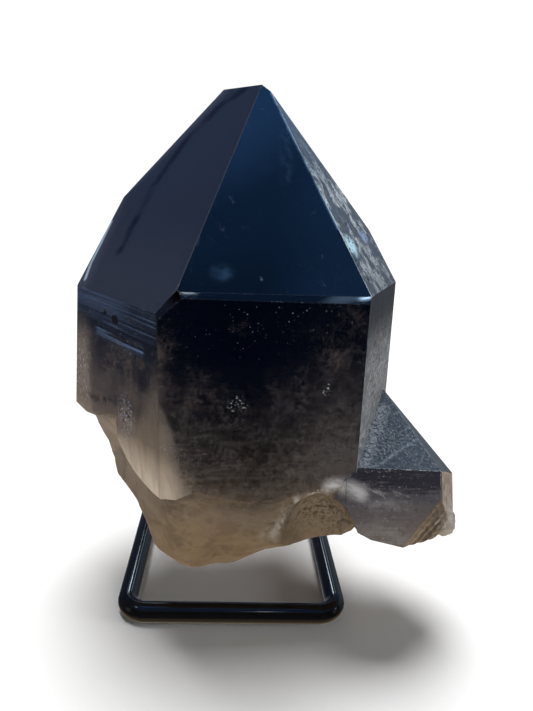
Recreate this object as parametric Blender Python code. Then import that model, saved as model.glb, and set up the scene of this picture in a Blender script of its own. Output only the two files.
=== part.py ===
"""A large smoky quartz crystal, with a smaller one grown on its side, on a stand of bent steel rod.

The stand lies on the floor as a U: a front bar, and two arms that run back under the crystal.
Behind the crystal each arm turns up into a post that ends in a blind hole in the underside.
Sizes below are millimetres and angles are degrees. Heights are above the floor.
Faces, hollows and sections of the crystals are given about the big crystal's own upright axis,
with its front face toward -Y, and the whole crystal is then turned by CRYSTAL_TURN on its stand.
"""
import math

import bmesh
import bpy
from mathutils import Matrix, Vector, noise

MM = 0.001

# Driving dimensions
ROD_DIAMETER = 9.5
ROD_SIDES = 12
ARM_SPACING = 100.0
STAND_CENTRE_X = 3.0
FRONT_BAR_Y = -46.0
FRONT_BEND_RADIUS = 9.5
REAR_BEND_Y = 66.0
REAR_BEND_RADIUS = 15.0
POST_TOP_SPACING = 54.0
POST_TOP_Y = 30.0
POST_TOP_HEIGHT = 92.0
HOLE_CLEARANCE = 0.35
HOLE_END_GAP = 1.0
DRILL_LENGTH = 62.0
DRILL_SIDES = 24
CRYSTAL_TURN = 6.0
# The rod's flat sides lie at its true radius, so its corners lie a little further out
ROD_CORNER_RADIUS = ROD_DIAMETER / 2 / math.cos(math.pi / ROD_SIDES)
# Turn of the rod's section about its centre line that lays one of its flat sides on the floor
ROD_ROLL = 5.12

# Faces of the big crystal. A prism face is (azimuth, lean, distance from the axis at FACE_HEIGHT),
# a point face is (azimuth, slope of its normal, height where it would meet the axis).
# Azimuth 0 is the front, 90 the right side.
FACE_HEIGHT = 120.0
PRISM_FACES = {
    "front": (-0.3, 1.4, 60.8),
    "front_right": (59.8, 1.1, 70.8),
    "back_right": (120.0, -0.2, 59.4),
    "back": (180.0, 0.0, 59.0),
    "back_left": (-118.1, 5.3, 70.8),
    "front_left": (-59.9, -0.6, 62.4),
}
POINT_FACES = {
    "front": (-0.1, 38.1, 233.7),
    "front_right": (60.3, 37.2, 250.9),
    "back_right": (119.8, 37.9, 257.7),
    "back": (180.0, 38.2, 290.5),
    "back_left": (-119.9, 37.9, 273.3),
    "front_left": (-60.0, 38.2, 229.9),
}
# Narrow faces between the front prism face and the point
BEVEL_FACES = {
    "front": (-0.1, 27.1, 273.5),
    "front_left": (-19.2, 19.7, 340.5),
}

# The side crystal leans back. Its faces are (azimuth, slope of the normal, distance from its tip).
SIDE_TIP = (71.1, -18.4, 106.7)
SIDE_FACES = {
    "prism_front": (-3.9, 26.2, 30.4),
    "prism_front_right": (58.1, 11.3, 29.9),
    "prism_back_right": (112.5, -14.6, 31.3),
    "prism_back": (176.1, -26.2, 31.0),
    "prism_front_left": (-67.5, 14.6, 36.0),
    "point_front": (-1.2, 64.0, 0.0),
    "point_front_right": (78.3, 44.4, 0.0),
    "point_back_right": (126.9, 20.8, 0.8),
    "point_back": (174.5, 12.0, 2.5),
    "point_front_left": (-88.8, 49.2, 0.0),
}
# Where the side crystal's body stops inside the big one
SIDE_BURIED_X = 20.0
# Breaks across the side crystal's foot: a point on the break, azimuth and slope of its normal
SIDE_BREAKS = {
    "right_corner": ((83.0, -69.1, 74.4), 33.0, -10.0),
    "under": ((65.0, -76.9, 56.0), -84.0, -78.0),
    "under_left": ((47.0, -72.0, 60.5), -60.0, -56.0),
}

# The broken foot of the big crystal, as rings read every 30 degrees from the front to the right.
# Each ring has its centre, its heights and how far out it lies. The first rings follow the break
# that ends the flat faces, so their reach is counted inward from those faces.
SECTORS = 12
FACES_END = (74, 79, 86, 90, 93, 97, 101, 104, 101, 91, 100, 84)
UNDER_EDGE_INSET = (0.4, 0.5, 2.0, 3.0, 4.0, 5.0, 6.0, 5.0, 4.0, 3.0, 1.2, 0.3)
LIP_HEIGHT = (70, 70, 72, 76, 80, 84, 86, 87, 86, 83, 85, 73.5)
LIP_INSET = (0.8, 1.5, 6.0, 8.0, 8.0, 9.0, 11.0, 12.0, 12.0, 8.0, 4.0, 2.0)
UNDERCUT_INSET = (1.0, 3.0, 8.0, 10.0, 10.0, 11.0, 14.0, 15.0, 14.0, 9.5, 6.0, 5.0)
FOOT_RINGS = (
    # centre x, centre y, height, climb per unit of distance right of the axis, reach in each sector
    (-4, -8, 63, 0.0, (50.5, 59, 74, 73, 54, 47, 44, 46, 48, 52.5, 49, 54)),
    (-7, -14, 53, 0.05, (41, 49, 74, 70, 46, 37, 34, 36, 38, 40.5, 41, 45)),
    (-9, -19, 45, 0.1, (33, 40, 68, 66, 34, 27, 25, 27, 30, 34, 35, 38)),
    (-10, -22, 36, 0.1, (25, 29, 32, 30, 21, 18, 16, 18, 22, 29, 31, 31)),
    (-10, -24, 28, 0.1, (16.5, 19, 21, 21, 14, 12, 10, 12, 15, 21, 23, 22)),
    (-10, -24, 23.5, 0.1, (8, 9.5, 11, 11, 7, 6, 5, 6, 7.5, 10, 11, 10)),
)
FOOT_BOTTOM = (-10, -23, 22.0)
# A prism face limits a section only where its normal has at least this much of the direction
LEAST_FACING = 0.2
# The foot's skin starts above the tip and outside every face, so only the break shows
SKIN_TOP = 320.0
SKIN_OUTSIDE = 120.0
# How far below the end of the faces the underside starts, and below the lip the undercut
UNDER_EDGE_DROP = 2.5
UNDERCUT_DROP = 3.5
RING_POINTS = 48
RING_STEPS = 2
# The rings from the top down. FOOT_RINGS follow the undercut.
SKIN_TOP_RING = 0
SKIN_EDGE_RING = 1
UNDER_EDGE_RING = 2
LIP_RING = 3
UNDERCUT_RING = 4
FIRST_FOOT_RING = 5
LAST_RING = FIRST_FOOT_RING + len(FOOT_RINGS) - 1
# Lumps of the foot and of the hollows broken out of it
LUMP_HEIGHT = 1.0
LUMP_SIZE = 15.0
HOLLOW_LUMPS_PER_RADIUS = 0.05

# The spur left standing low on the front left edge: its crest from the left to the right, then
# its top, and how far it reaches out of and into the crystal
SPUR_OUTLINE = (
    (-53.0, -33.0, 103.0), (-56.0, -28.0, 95.0), (-54.9, -29.0, 86.0), (-51.0, -36.0, 80.5),
    (-46.8, -42.7, 76.8), (-42.8, -49.5, 75.0), (-38.9, -56.3, 73.8), (-33.9, -61.8, 73.6),
    (-29.9, -61.9, 73.0), (-23.0, -62.0, 76.0), (-23.0, -62.0, 103.0),
)
SPUR_DIRECTION = -45.0
SPUR_OUT = 12.0
SPUR_IN = 26.0

# Hollows broken out of the foot: centre, radii
HOLLOWS = {
    "under_front_right": ((31.0, -68.0, 45.0), (18.5, 20.0, 31.0)),
    "back_flank": ((-30.0, 84.0, 72.0), (30.0, 24.0, 22.0)),
}
# Small chips on the edge between two point faces, and a pit low on the left flank
CHIPS = {
    "edge_chip_high": ((28.2, -13.8, 206.5), (2.2, 2.2, 3.2)),
    "edge_chip_low": ((42.3, -44.8, 172.8), (2.4, 2.4, 3.6)),
    "face_pit": ((-60.5, -20.5, 142.4), (2.6, 2.0, 1.6)),
}
# The frosty lump at the side crystal's right foot
SIDE_LUMP = ((94.6, -51.5, 53.5), (5.5, 7.0, 8.0))

BLOCK_SIZE = 600.0


def clear_scene():
    for item in list(bpy.data.objects):
        bpy.data.objects.remove(item, do_unlink=True)


def new_collection(name):
    collection = bpy.data.collections.new(name)
    bpy.context.scene.collection.children.link(collection)
    return collection


def make_material(name, colour, roughness, metallic=0.0):
    material = bpy.data.materials.new(name)
    material.use_nodes = True
    shader = material.node_tree.nodes["Principled BSDF"]
    shader.inputs["Base Color"].default_value = (*colour, 1.0)
    shader.inputs["Roughness"].default_value = roughness
    shader.inputs["Metallic"].default_value = metallic
    return material


def mesh_object(name, mesh_builder, collection, parent):
    mesh = bpy.data.meshes.new(name)
    mesh_builder.normal_update()
    mesh_builder.to_mesh(mesh)
    mesh_builder.free()
    item = bpy.data.objects.new(name, mesh)
    item.parent = parent
    collection.objects.link(item)
    return item


def direction(azimuth, slope):
    """Unit vector: azimuth 0 points to -Y and 90 to +X, slope is the angle above level."""
    around = math.radians(azimuth)
    up = math.radians(slope)
    return Vector((math.sin(around) * math.cos(up), -math.cos(around) * math.cos(up), math.sin(up)))


def prism_planes():
    """Outward normal and a point, in millimetres, for each face of the big crystal."""
    planes = []
    for azimuth, lean, distance in PRISM_FACES.values():
        normal = direction(azimuth, lean)
        planes.append((normal, Vector((0, 0, FACE_HEIGHT)) + normal * distance))
    return planes


def point_planes():
    tips = list(POINT_FACES.values()) + list(BEVEL_FACES.values())
    return [(direction(azimuth, slope), Vector((0, 0, height))) for azimuth, slope, height in tips]


def cut_block(centre, planes):
    """A block trimmed flat by each plane in turn, keeping what lies behind it."""
    block = bmesh.new()
    bmesh.ops.create_cube(block, size=BLOCK_SIZE * MM, matrix=Matrix.Translation(Vector(centre) * MM))
    for normal, point in planes:
        whole = block.verts[:] + block.edges[:] + block.faces[:]
        cut = bmesh.ops.bisect_plane(
            block, geom=whole, plane_co=point * MM, plane_no=normal, clear_outer=True)
        rim = [part for part in cut["geom_cut"] if isinstance(part, bmesh.types.BMEdge)]
        bmesh.ops.holes_fill(block, edges=rim)
    bmesh.ops.recalc_face_normals(block, faces=block.faces[:])
    return block


def around_ring(values, azimuth):
    """Smooth value at any azimuth from one value per sector, by a closed Catmull-Rom curve."""
    place = (azimuth / 360.0 * SECTORS) % SECTORS
    index = int(place)
    part = place - index
    before, here, after, beyond = (values[(index + step) % SECTORS] for step in (-1, 0, 1, 2))
    slope = (after - before) / 2
    next_slope = (beyond - here) / 2
    rise = after - here
    return here + slope * part + (3 * rise - 2 * slope - next_slope) * part**2 + (
        slope + next_slope - 2 * rise) * part**3


def face_reach(azimuth, height):
    """Distance from the axis to the nearest prism face, in the level direction of azimuth."""
    outward = direction(azimuth, 0)
    start = Vector((0, 0, height))
    return min((point - start).dot(normal) / outward.dot(normal)
               for normal, point in prism_planes() if outward.dot(normal) > LEAST_FACING)


def ring_point(ring, azimuth):
    """One point of a foot ring, numbered from the top."""
    outward = direction(azimuth, 0)
    faces_end = around_ring(FACES_END, azimuth)
    lip = around_ring(LIP_HEIGHT, azimuth)
    if ring <= SKIN_EDGE_RING:
        return outward * SKIN_OUTSIDE + Vector((0, 0, SKIN_TOP if ring == SKIN_TOP_RING else faces_end))
    if ring < FIRST_FOOT_RING:
        height, inset = {
            UNDER_EDGE_RING: (faces_end - UNDER_EDGE_DROP, UNDER_EDGE_INSET),
            LIP_RING: (lip, LIP_INSET),
            UNDERCUT_RING: (lip - UNDERCUT_DROP, UNDERCUT_INSET),
        }[ring]
        return outward * (face_reach(azimuth, height) - around_ring(inset, azimuth)) + Vector((0, 0, height))
    x, y, height, climb, reach = FOOT_RINGS[ring - FIRST_FOOT_RING]
    point = Vector((x, y, height)) + outward * around_ring(reach, azimuth)
    point.z += climb * max(0.0, point.x)
    return point


def lumpy(point, weight):
    """Shift a point by smooth noise, to break up the even rings of the foot."""
    return point + noise.noise_vector(point / LUMP_SIZE) * LUMP_HEIGHT * weight


def foot_loft():
    """The broken foot: a closed skin through the rings, wider than the crystal above the break."""
    foot = bmesh.new()
    rows = []
    for ring in range(LAST_RING + 1):
        steps = RING_STEPS if UNDERCUT_RING <= ring < LAST_RING else 1
        for step in range(steps):
            part = step / steps
            row = []
            for index in range(RING_POINTS):
                azimuth = index * 360 / RING_POINTS
                point = ring_point(ring, azimuth)
                if part:
                    point = point.lerp(ring_point(ring + 1, azimuth), part)
                weight = 1.0 if ring >= LIP_RING else 0.0
                row.append(foot.verts.new(lumpy(point, weight) * MM))
            rows.append(row)
    for upper, lower in zip(rows, rows[1:]):
        for index in range(RING_POINTS):
            after = (index + 1) % RING_POINTS
            foot.faces.new((upper[index], lower[index], lower[after], upper[after]))
    bottom = foot.verts.new(Vector(FOOT_BOTTOM) * MM)
    for index in range(RING_POINTS):
        foot.faces.new((rows[-1][index], bottom, rows[-1][(index + 1) % RING_POINTS]))
    foot.faces.new(rows[0])
    bmesh.ops.recalc_face_normals(foot, faces=foot.faces[:])
    return foot


def spur_block():
    """The spur's outline swept through the crystal's edge."""
    block = bmesh.new()
    outward = direction(SPUR_DIRECTION, 0)
    outer = [block.verts.new((Vector(point) + outward * SPUR_OUT) * MM) for point in SPUR_OUTLINE]
    inner = [block.verts.new((Vector(point) - outward * SPUR_IN) * MM) for point in SPUR_OUTLINE]
    block.faces.new(outer)
    block.faces.new(inner[::-1])
    for index in range(len(outer)):
        after = (index + 1) % len(outer)
        block.faces.new((outer[index], inner[index], inner[after], outer[after]))
    bmesh.ops.recalc_face_normals(block, faces=block.faces[:])
    return block


def rough_ball(centre, radii, subdivisions=3):
    ball = bmesh.new()
    bmesh.ops.create_icosphere(ball, subdivisions=subdivisions, radius=1.0)
    for vert in ball.verts:
        point = Vector(centre) + Vector(axis * radius for axis, radius in zip(vert.co, radii))
        vert.co = lumpy(point, min(radii) * HOLLOW_LUMPS_PER_RADIUS) * MM
    return ball


def apply_shape(target, tool, operation):
    boolean = target.modifiers.new(tool.name, "BOOLEAN")
    boolean.operation = operation
    boolean.solver = "EXACT"
    boolean.object = tool


def as_cutter(item):
    item.hide_render = True
    item.display_type = "WIRE"


def make_crystal(collection, cutters, root):
    block = cut_block((0, 0, FACE_HEIGHT), prism_planes() + point_planes())
    crystal = mesh_object("smoky_quartz_crystal", block, collection, root)
    crystal.rotation_euler.z = math.radians(CRYSTAL_TURN)
    crystal.data.materials.append(make_material("smoky_quartz", (0.10, 0.085, 0.09), 0.12))

    tip = Vector(SIDE_TIP)
    side_planes = [(direction(azimuth, slope), tip + direction(azimuth, slope) * distance)
                   for azimuth, slope, distance in SIDE_FACES.values()]
    side_planes += [(direction(azimuth, slope), Vector(point))
                    for point, azimuth, slope in SIDE_BREAKS.values()]
    buried_end = (Vector((-1, 0, 0)), Vector((SIDE_BURIED_X, 0, 0)))

    tools = [
        ("broken_foot", foot_loft(), "INTERSECT"),
        ("side_crystal", cut_block(SIDE_TIP, side_planes + [buried_end]), "UNION"),
        ("side_lump", rough_ball(*SIDE_LUMP, subdivisions=2), "UNION"),
    ]
    tools += [(name, rough_ball(*hollow), "DIFFERENCE") for name, hollow in HOLLOWS.items()]
    tools += [(name, rough_ball(*chip, subdivisions=1), "DIFFERENCE") for name, chip in CHIPS.items()]
    for name, shape, operation in tools:
        tool = mesh_object(name, shape, cutters, crystal)
        as_cutter(tool)
        apply_shape(crystal, tool, operation)
    spur = mesh_object("spur", spur_block(), cutters, crystal)
    as_cutter(spur)
    apply_shape(cutters.objects["broken_foot"], spur, "UNION")
    return crystal


def rod_corners():
    """Corners of the rod's centre line with the bend radius at each, from post top to post top."""
    floor = ROD_DIAMETER / 2
    left = STAND_CENTRE_X - ARM_SPACING / 2
    right = STAND_CENTRE_X + ARM_SPACING / 2
    half_top = POST_TOP_SPACING / 2
    return (
        (Vector((STAND_CENTRE_X - half_top, POST_TOP_Y, POST_TOP_HEIGHT)), 0.0),
        (Vector((left, REAR_BEND_Y, floor)), REAR_BEND_RADIUS),
        (Vector((left, FRONT_BAR_Y, floor)), FRONT_BEND_RADIUS),
        (Vector((right, FRONT_BAR_Y, floor)), FRONT_BEND_RADIUS),
        (Vector((right, REAR_BEND_Y, floor)), REAR_BEND_RADIUS),
        (Vector((STAND_CENTRE_X + half_top, POST_TOP_Y, POST_TOP_HEIGHT)), 0.0),
    )


def bend(before, corner, after, radius, steps=8):
    """Points of the arc that rounds a corner of the centre line."""
    back = (before - corner).normalized()
    ahead = (after - corner).normalized()
    half_angle = back.angle(ahead) / 2
    centre = corner + (back + ahead).normalized() * radius / math.sin(half_angle)
    start = corner + back * radius / math.tan(half_angle) - centre
    end = corner + ahead * radius / math.tan(half_angle) - centre
    turn = start.angle(end)
    axis = start.cross(end).normalized()
    return [centre + Matrix.Rotation(turn * step / steps, 3, axis) @ start for step in range(steps + 1)]


def rod_path():
    corners = rod_corners()
    path = [corners[0][0]]
    for index in range(1, len(corners) - 1):
        corner, radius = corners[index]
        path += bend(corners[index - 1][0], corner, corners[index + 1][0], radius)
    path.append(corners[-1][0])
    return path


def make_stand(collection, root):
    """One rod whose flat sides face down where it lies on the floor."""
    curve = bpy.data.curves.new("display_stand", "CURVE")
    curve.dimensions = "3D"
    curve.bevel_depth = ROD_CORNER_RADIUS * MM
    curve.bevel_resolution = ROD_SIDES // 2 - 2
    curve.use_fill_caps = True
    curve.twist_mode = "MINIMUM"
    path = rod_path()
    spline = curve.splines.new("POLY")
    spline.points.add(len(path) - 1)
    for point, place in zip(spline.points, path):
        point.co = (*(place * MM), 1.0)
        point.tilt = math.radians(ROD_ROLL)
    rod = bpy.data.objects.new("rod_curve", curve)
    collection.objects.link(rod)
    evaluated = rod.evaluated_get(bpy.context.evaluated_depsgraph_get())
    mesh = bpy.data.meshes.new_from_object(evaluated)
    bpy.data.objects.remove(rod, do_unlink=True)

    shape = bmesh.new()
    shape.from_mesh(mesh)
    bmesh.ops.remove_doubles(shape, verts=shape.verts[:], dist=0.00001)
    bmesh.ops.recalc_face_normals(shape, faces=shape.faces[:])
    bpy.data.meshes.remove(mesh)
    stand = mesh_object("display_stand", shape, collection, root)
    stand.data.materials.append(make_material("gloss_black_steel", (0.012, 0.013, 0.015), 0.18, 0.0))
    stand.data.shade_smooth()
    stand.data.set_sharp_from_angle(angle=math.radians(40))
    return stand


def drill_post_holes(crystal, cutters, root):
    """A blind hole round the top of each post, with clearance all round and past the end."""
    corners = rod_corners()
    radius = (ROD_CORNER_RADIUS + HOLE_CLEARANCE) * MM
    left_post = ("left_hole", corners[0][0], corners[1][0])
    right_post = ("right_hole", corners[-1][0], corners[-2][0])
    for name, top, foot in (left_post, right_post):
        along = (top - foot).normalized()
        middle = top + along * (HOLE_END_GAP - DRILL_LENGTH / 2)
        place = Matrix.Translation(middle * MM) @ along.to_track_quat("Z", "Y").to_matrix().to_4x4()
        drill = bmesh.new()
        bmesh.ops.create_cone(
            drill, cap_ends=True, segments=DRILL_SIDES, radius1=radius, radius2=radius,
            depth=DRILL_LENGTH * MM, matrix=place)
        tool = mesh_object(name, drill, cutters, root)
        as_cutter(tool)
        apply_shape(crystal, tool, "DIFFERENCE")


def stand_on_origin(root, parts):
    """Move everything so that the origin is under the middle of the whole object, on the floor."""
    graph = bpy.context.evaluated_depsgraph_get()
    corners = []
    for part in parts:
        shaped = part.evaluated_get(graph)
        corners += [shaped.matrix_world @ vert.co for vert in shaped.data.vertices]
    lows = [min(corner[axis] for corner in corners) for axis in range(3)]
    highs = [max(corner[axis] for corner in corners) for axis in range(3)]
    root.location -= Vector(((lows[0] + highs[0]) / 2, (lows[1] + highs[1]) / 2, lows[2]))


def main():
    clear_scene()
    collection = new_collection("smoky_quartz_on_stand")
    cutters = new_collection("cutters")
    root = bpy.data.objects.new("smoky_quartz_on_stand", None)
    collection.objects.link(root)
    stand = make_stand(collection, root)
    crystal = make_crystal(collection, cutters, root)
    drill_post_holes(crystal, cutters, root)
    stand_on_origin(root, (stand, crystal))


main()
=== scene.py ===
"""Looks of a smoky quartz crystal on its stand of bent rod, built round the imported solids.

Everything about the crystals is worked out in the big crystal's own frame: its axis upright, its
front face toward -Y, heights above the floor. The crystal stands turned by CRYSTAL_TURN on its stand.
Lengths are millimetres, multiplied by MM where they are used.
"""
import math
import random

import bmesh
import bpy
from mathutils import Matrix, Vector, kdtree, noise

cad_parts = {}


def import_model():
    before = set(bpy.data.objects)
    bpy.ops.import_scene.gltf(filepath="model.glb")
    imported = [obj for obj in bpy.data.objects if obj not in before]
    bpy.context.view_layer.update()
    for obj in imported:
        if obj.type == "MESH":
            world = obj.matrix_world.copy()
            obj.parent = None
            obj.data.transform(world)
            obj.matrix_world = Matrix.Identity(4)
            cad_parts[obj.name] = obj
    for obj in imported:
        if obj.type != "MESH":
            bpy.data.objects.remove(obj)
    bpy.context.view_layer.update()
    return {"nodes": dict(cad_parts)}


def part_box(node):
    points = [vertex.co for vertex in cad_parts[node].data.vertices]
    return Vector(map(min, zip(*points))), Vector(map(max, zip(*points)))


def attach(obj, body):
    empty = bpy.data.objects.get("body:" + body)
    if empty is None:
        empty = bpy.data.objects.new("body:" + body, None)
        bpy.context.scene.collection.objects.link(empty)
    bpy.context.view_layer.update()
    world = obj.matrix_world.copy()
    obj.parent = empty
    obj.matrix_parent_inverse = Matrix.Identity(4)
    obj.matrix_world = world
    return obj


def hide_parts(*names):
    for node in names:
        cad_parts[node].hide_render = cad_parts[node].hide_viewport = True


MM = 0.001

# The stand as it was designed, before the whole object was centred on the origin
STAND_CENTRE_X = 3.0
FRONT_BAR_Y = -46.0
REAR_BEND_Y = 66.0
ARM_SPACING = 100.0
ROD_DIAMETER = 9.5
FRONT_BEND_RADIUS = 9.5
REAR_BEND_RADIUS = 15.0
POST_TOP_SPACING = 54.0
POST_TOP_Y = 30.0
POST_TOP_HEIGHT = 92.0
ROD_SIDES = 32

CRYSTAL_TURN = 6.0

# Crystal faces: azimuth and slope of the normal in degrees (azimuth 0 is the front, 90 the right),
# then where the face lies in millimetres, from the axis or from the side crystal's tip
FACE_HEIGHT = 120.0
PRISM_FACES = {
    "front": (-0.3, 1.4, 60.8),
    "front_right": (59.8, 1.1, 70.8),
    "back_right": (120.0, -0.2, 59.4),
    "back": (180.0, 0.0, 59.0),
    "back_left": (-118.1, 5.3, 70.8),
    "front_left": (-59.9, -0.6, 62.4),
}
POINT_FACES = {
    "point_front": (-0.1, 38.1, 233.7),
    "point_front_right": (60.3, 37.2, 250.9),
    "point_back_right": (119.8, 37.9, 257.7),
    "point_back": (180.0, 38.2, 290.5),
    "point_back_left": (-119.9, 37.9, 273.3),
    "point_front_left": (-60.0, 38.2, 229.9),
    "bevel_front": (-0.1, 27.1, 273.5),
    "bevel_front_left": (-19.2, 19.7, 340.5),
}
SIDE_TIP = (71.1, -18.4, 106.7)
SIDE_FACES = {
    "side_front": (-3.9, 26.2, 30.4),
    "side_front_right": (58.1, 11.3, 29.9),
    "side_back_right": (112.5, -14.6, 31.3),
    "side_back": (176.1, -26.2, 31.0),
    "side_front_left": (-67.5, 14.6, 36.0),
    "side_point_front": (-1.2, 64.0, 0.0),
    "side_point_front_right": (78.3, 44.4, 0.0),
    "side_point_back_right": (126.9, 20.8, 0.8),
    "side_point_back": (174.5, 12.0, 2.5),
    "side_point_front_left": (-88.8, 49.2, 0.0),
}

# Surfaces of each kind, with how long their mesh edges are, how high their relief is and how wide its lumps
BROKEN = "broken"
WORN_EDGE = "worn_edge"
KINDS = {
    "polished": (("point_front", "bevel_front", "bevel_front_left"), 5.0, 0.0, 1.0),
    "hazed": (("point_front_left",), 5.0, 0.0, 1.0),
    "plain": (("front",), 3.0, 0.04, 8.0),
    "grown": (("front_left", "back", "back_left", "back_right"), 2.2, 0.16, 12.0),
    "flaky": (("point_front_right",), 1.1, 0.24, 2.3),
    "etched": (("front_right", "point_back_right", "point_back", "point_back_left"), 1.8, 0.12, 3.0),
    "pebbled": (tuple(name for name in SIDE_FACES if "point" in name), 0.95, 0.20, 1.9),
    "dull": (tuple(name for name in SIDE_FACES if "point" not in name), 1.8, 0.08, 3.0),
    "broken": ((BROKEN,), 1.35, 0.9, 12.0),
    "worn": ((WORN_EDGE,), 3.0, 0.0, 1.0),
}
ZONES = [BROKEN, WORN_EDGE] + list(PRISM_FACES) + list(POINT_FACES) + list(SIDE_FACES)
KIND_OF = {zone: kind for kind, (zones, *_) in KINDS.items() for zone in zones}
EDGE_WEAR = 0.35
REFINE_PASSES = 40
SMALLEST = 0.05
SOFT_EDGE = math.radians(34)


def direction(azimuth, slope):
    around = math.radians(azimuth)
    up = math.radians(slope)
    return Vector((math.sin(around) * math.cos(up), -math.cos(around) * math.cos(up), math.sin(up)))


def face_planes():
    """Zone number, outward normal and a point for every flat crystal face, in metres."""
    planes = []
    for name, (azimuth, slope, distance) in PRISM_FACES.items():
        normal = direction(azimuth, slope)
        planes.append((ZONES.index(name), normal, (Vector((0, 0, FACE_HEIGHT)) + normal * distance) * MM))
    for name, (azimuth, slope, height) in POINT_FACES.items():
        planes.append((ZONES.index(name), direction(azimuth, slope), Vector((0, 0, height)) * MM))
    for name, (azimuth, slope, distance) in SIDE_FACES.items():
        normal = direction(azimuth, slope)
        planes.append((ZONES.index(name), normal, (Vector(SIDE_TIP) + normal * distance) * MM))
    return planes


def crystal_place():
    """Matrix from the crystal's own frame to the row frame."""
    low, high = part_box("display_stand")
    shift_x = (low.x + high.x) / 2 - STAND_CENTRE_X * MM
    shift_y = low.y - (FRONT_BAR_Y - ROD_DIAMETER / 2) * MM
    return Matrix.Translation((shift_x, shift_y, 0)) @ Matrix.Rotation(math.radians(CRYSTAL_TURN), 4, "Z")


def mark_zones(shape, layer):
    planes = face_planes()
    for face in shape.faces:
        middle = face.calc_center_median()
        face[layer] = ZONES.index(BROKEN)
        for zone, normal, point in planes:
            if face.normal.dot(normal) > 0.9998 and abs((middle - point).dot(normal)) < 0.08 * MM:
                face[layer] = zone
                break


def wear_edges(shape, layer):
    """A narrow worn strip along every edge where two crystal faces meet."""
    sharp = [edge for edge in shape.edges if len(edge.link_faces) == 2
             and all(face[layer] > 1 for face in edge.link_faces)
             and edge.link_faces[0][layer] != edge.link_faces[1][layer]]
    made = bmesh.ops.bevel(
        shape, geom=sharp, offset=EDGE_WEAR * MM, offset_type="OFFSET", segments=1, profile=0.5,
        affect="EDGES", clamp_overlap=True)
    for face in made["faces"]:
        face[layer] = ZONES.index(WORN_EDGE)


def even_out(shape, layer):
    """Turn the edges inside flat areas so that the triangles there are as plump as they can be."""
    inner = [edge for edge in shape.edges
             if edge.link_faces[0][layer] == edge.link_faces[1][layer] and edge.calc_face_angle(1) < math.radians(3)]
    bmesh.ops.beautify_fill(shape, faces=shape.faces[:], edges=inner, method="ANGLE")


def refine(shape, layer):
    """Split the longest edge of each triangle until all are as short as their kind of surface needs."""
    longest = [KINDS[KIND_OF[zone]][1] * MM * 1.35 for zone in ZONES]
    even_out(shape, layer)
    for step in range(REFINE_PASSES):
        chosen = {}
        for face in shape.faces:
            edge = max(face.edges, key=lambda item: item.calc_length())
            if edge.calc_length() > longest[face[layer]]:
                chosen[edge] = True
        if not chosen:
            break
        bmesh.ops.subdivide_edges(shape, edges=list(chosen), cuts=1)
        wide = [face for face in shape.faces if len(face.verts) > 3]
        bmesh.ops.triangulate(shape, faces=wide, quad_method="SHORT_EDGE")
        if step % 2:
            even_out(shape, layer)
    even_out(shape, layer)


# Crest of the spur low on the front left edge, under which the break is hollow
SPUR_CREST = (
    (-56.0, -28.0, 95.0), (-54.9, -29.0, 86.0), (-51.0, -36.0, 80.5), (-46.8, -42.7, 76.8),
    (-42.8, -49.5, 75.0), (-38.9, -56.3, 73.8), (-33.9, -61.8, 73.6), (-29.9, -61.9, 73.0),
)
SPUR_HOLLOW = 3.2
SPUR_HOLLOW_REACH = 15.0
# Ridges across the side crystal's right break: a point on it, the way across them, how far apart
RIDGES_AT = (86.0, -66.0, 62.0)
RIDGES_REACH = 24.0
RIDGES_ACROSS = (0.62, 0.1, 0.78)
RIDGES_APART = 3.4


def facets(place):
    """Small flat facets, each tilted its own way."""
    _, seeds = noise.voronoi(place)
    seed = seeds[0]
    tilt = noise.noise_vector(seed * 3.7)
    return noise.noise(seed * 1.9) + (place - seed).dot(tilt)


def creased(place):
    """Rounded lumps with creases between them."""
    return 1.0 - 2.6 * abs(noise.noise(place))


def rough_height(kind, point):
    """Relief of one kind of surface at a point, from about -1 to 1."""
    place = point / (KINDS[kind][3] * MM)
    if kind == "grown":
        lines = noise.noise(Vector((place.x * 0.3, place.y * 0.3, place.z * 1.8)))
        return 0.4 * lines + 0.6 * noise.noise(place)
    if kind == "broken":
        shells = math.sin(7.0 * noise.noise(place * 0.55 + Vector((3.0, 1.0, 7.0))) + place.z)
        return 0.5 * noise.noise(place) + 0.2 * shells + 0.2 * creased(place * 1.9) + 0.1 * creased(place * 4.3)
    if kind in ("pebbled", "flaky"):
        return facets(place)
    return 0.65 * noise.noise(place) + 0.35 * noise.noise(place * 2.7)


def distance_to_crest(point):
    best = 1.0
    for start, end in zip(SPUR_CREST, SPUR_CREST[1:]):
        start, end = Vector(start) * MM, Vector(end) * MM
        along = end - start
        part = max(0.0, min(1.0, (point - start).dot(along) / along.length_squared))
        best = min(best, (point - start - along * part).length)
    return best


def carve(point, crest):
    """Extra shape of the break: the hollow under the spur and the ridges of the side crystal."""
    shift = Vector((0, 0, 0))
    if crest > 0:
        deep = min(1.0, (1.0 - crest) * 9.0) * crest ** 1.3
        shift += Vector((-point.x, -point.y, 0)).normalized() * SPUR_HOLLOW * MM * deep
    from_ridges = point - Vector(RIDGES_AT) * MM
    near = 1.0 - from_ridges.length / (RIDGES_REACH * MM)
    if near > 0:
        across = from_ridges.dot(Vector(RIDGES_ACROSS).normalized()) / (RIDGES_APART * MM)
        wander = noise.noise(point / (7 * MM)) * 0.8
        wave = abs(math.sin((across + wander) * math.pi)) - 0.6
        shift += direction(33, -10) * 0.55 * MM * min(1.0, near * 3) * wave
    return shift


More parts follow.
